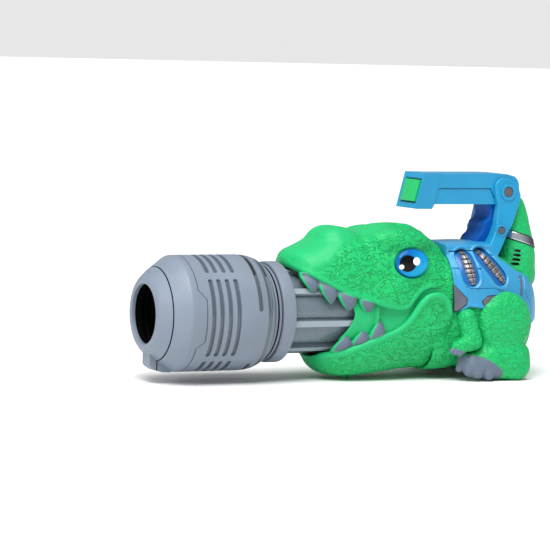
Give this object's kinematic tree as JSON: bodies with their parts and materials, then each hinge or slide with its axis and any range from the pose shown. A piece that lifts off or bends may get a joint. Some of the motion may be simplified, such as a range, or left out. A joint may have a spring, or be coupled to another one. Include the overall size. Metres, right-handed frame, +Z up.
{
  "type": "toy bubble machine",
  "caption": "Dinosaur-shaped bubble blaster with a ribbed barrel, round nozzle drum, top carrying handle and push button.",
  "frame": {"origin": "bottom centre of the overall box, on the surface it stands on", "axes": "+X from the nozzle towards the tail, +Y towards the right flank, +Z up"},
  "size_m": [0.3508, 0.1122, 0.1666],
  "materials": {
    "skin": "soft vinyl with a pebbled skin",
    "grey": "satin",
    "blue": "satin",
    "dark_blue": "satin",
    "silver": "silver paint",
    "tooth": "pewter paint",
    "eye": "gloss paint",
    "button": "satin",
    "white_plastic": "satin",
    "steel": "bright",
    "black_plastic": "matt",
    "seal": "matt",
    "board": "solder mask",
    "cell": "printed sleeve"
  },
  "bodies": {
    "housing": {"head_shell": "skin", "lower_jaw": "skin", "throat_wall": "skin", "body_shell_left": "skin", "body_shell_right": "skin", "leg_left": "skin", "leg_right": "skin", "arm_left": "skin", "arm_right": "skin", "tail": "skin", "drum_shell": "grey", "spacer_rings": "grey", "flange_ring": "grey", "barrel_tubes": "grey", "harness_left": "blue", "harness_right": "blue", "handle_bar_left": "blue", "handle_bar_right": "blue", "arm_plate_left": "blue", "arm_plate_right": "blue", "handle_post": "dark_blue", "rib_insert_front_left": "silver", "rib_insert_front_right": "silver", "rib_insert_rear_left": "silver", "rib_insert_rear_right": "silver", "upper_pivot_cap_left": "silver", "upper_pivot_cap_right": "silver", "lower_pivot_cap_left": "silver", "lower_pivot_cap_right": "silver", "upper_teeth_left": "tooth", "upper_teeth_right": "tooth", "lower_teeth_left": "tooth", "lower_teeth_right": "tooth", "eye_left": "eye", "eye_right": "eye", "reservoir_cup": "white_plastic", "gearbox_plate": "white_plastic", "fan_housing": "white_plastic", "wand_motor": "steel", "fan_motor": "steel", "button_spring": "steel", "battery_box": "black_plastic", "button_switch": "black_plastic", "speaker": "black_plastic", "shaft_seal": "seal", "circuit_board": "board", "battery_cell_left": "cell", "battery_cell_middle": "cell", "battery_cell_right": "cell"},
    "seal": {"cap_seal": "seal"},
    "cap": {"front_cap": "grey"},
    "bubble_wheel": {"wand_rotor": "black_plastic", "rotor_shaft": "steel", "rotor_gear": "white_plastic"},
    "reduction": {"reduction_gear": "white_plastic"},
    "pinion": {"motor_pinion": "steel"},
    "fan": {"fan_wheel": "white_plastic"},
    "button": {"trigger_button": "button"},
    "cover": {"battery_cover": "black_plastic", "battery_screw": "steel"}
  },
  "joints": [
    {"name": "cap_twist", "type": "hinge", "parent": "housing", "child": "seal", "pos_m": [-0.1654, 0, 0.0544], "axis": [1, 0, 0], "range_deg": [0, 30]},
    {"name": "cap_pull", "type": "slide", "parent": "seal", "child": "cap", "axis": [-1, 0, 0], "range_m": [0, 0.03]},
    {"name": "wheel_spin", "type": "hinge", "parent": "housing", "child": "bubble_wheel", "pos_m": [-0.1454, 0, 0.0544], "axis": [1, 0, 0], "continuous": true},
    {"name": "reduction_spin", "type": "hinge", "parent": "housing", "child": "reduction", "pos_m": [-0.1034, 0, 0.03125], "axis": [1, 0, 0], "continuous": true},
    {"name": "pinion_spin", "type": "hinge", "parent": "housing", "child": "pinion", "pos_m": [-0.0994, 0.01736, 0.03934], "axis": [1, 0, 0], "continuous": true},
    {"name": "fan_spin", "type": "hinge", "parent": "housing", "child": "fan", "pos_m": [0.0246, 0, 0.0544], "axis": [1, 0, 0], "continuous": true},
    {"name": "button_press", "type": "slide", "parent": "housing", "child": "button", "axis": [0.9679, 0, -0.2512], "range_m": [0, 0.003], "stiffness_N_per_m": 200, "springref_m": -0.001, "deforming": ["button_spring"]},
    {"name": "cover_lift", "type": "slide", "parent": "housing", "child": "cover", "axis": [0, 0, -1], "range_m": [0, 0.02]}
  ],
  "couplings": [
    {"joint": "reduction_spin", "follows": "wheel_spin", "ratio": -3.6},
    {"joint": "pinion_spin", "follows": "wheel_spin", "ratio": 10.08}
  ]
}
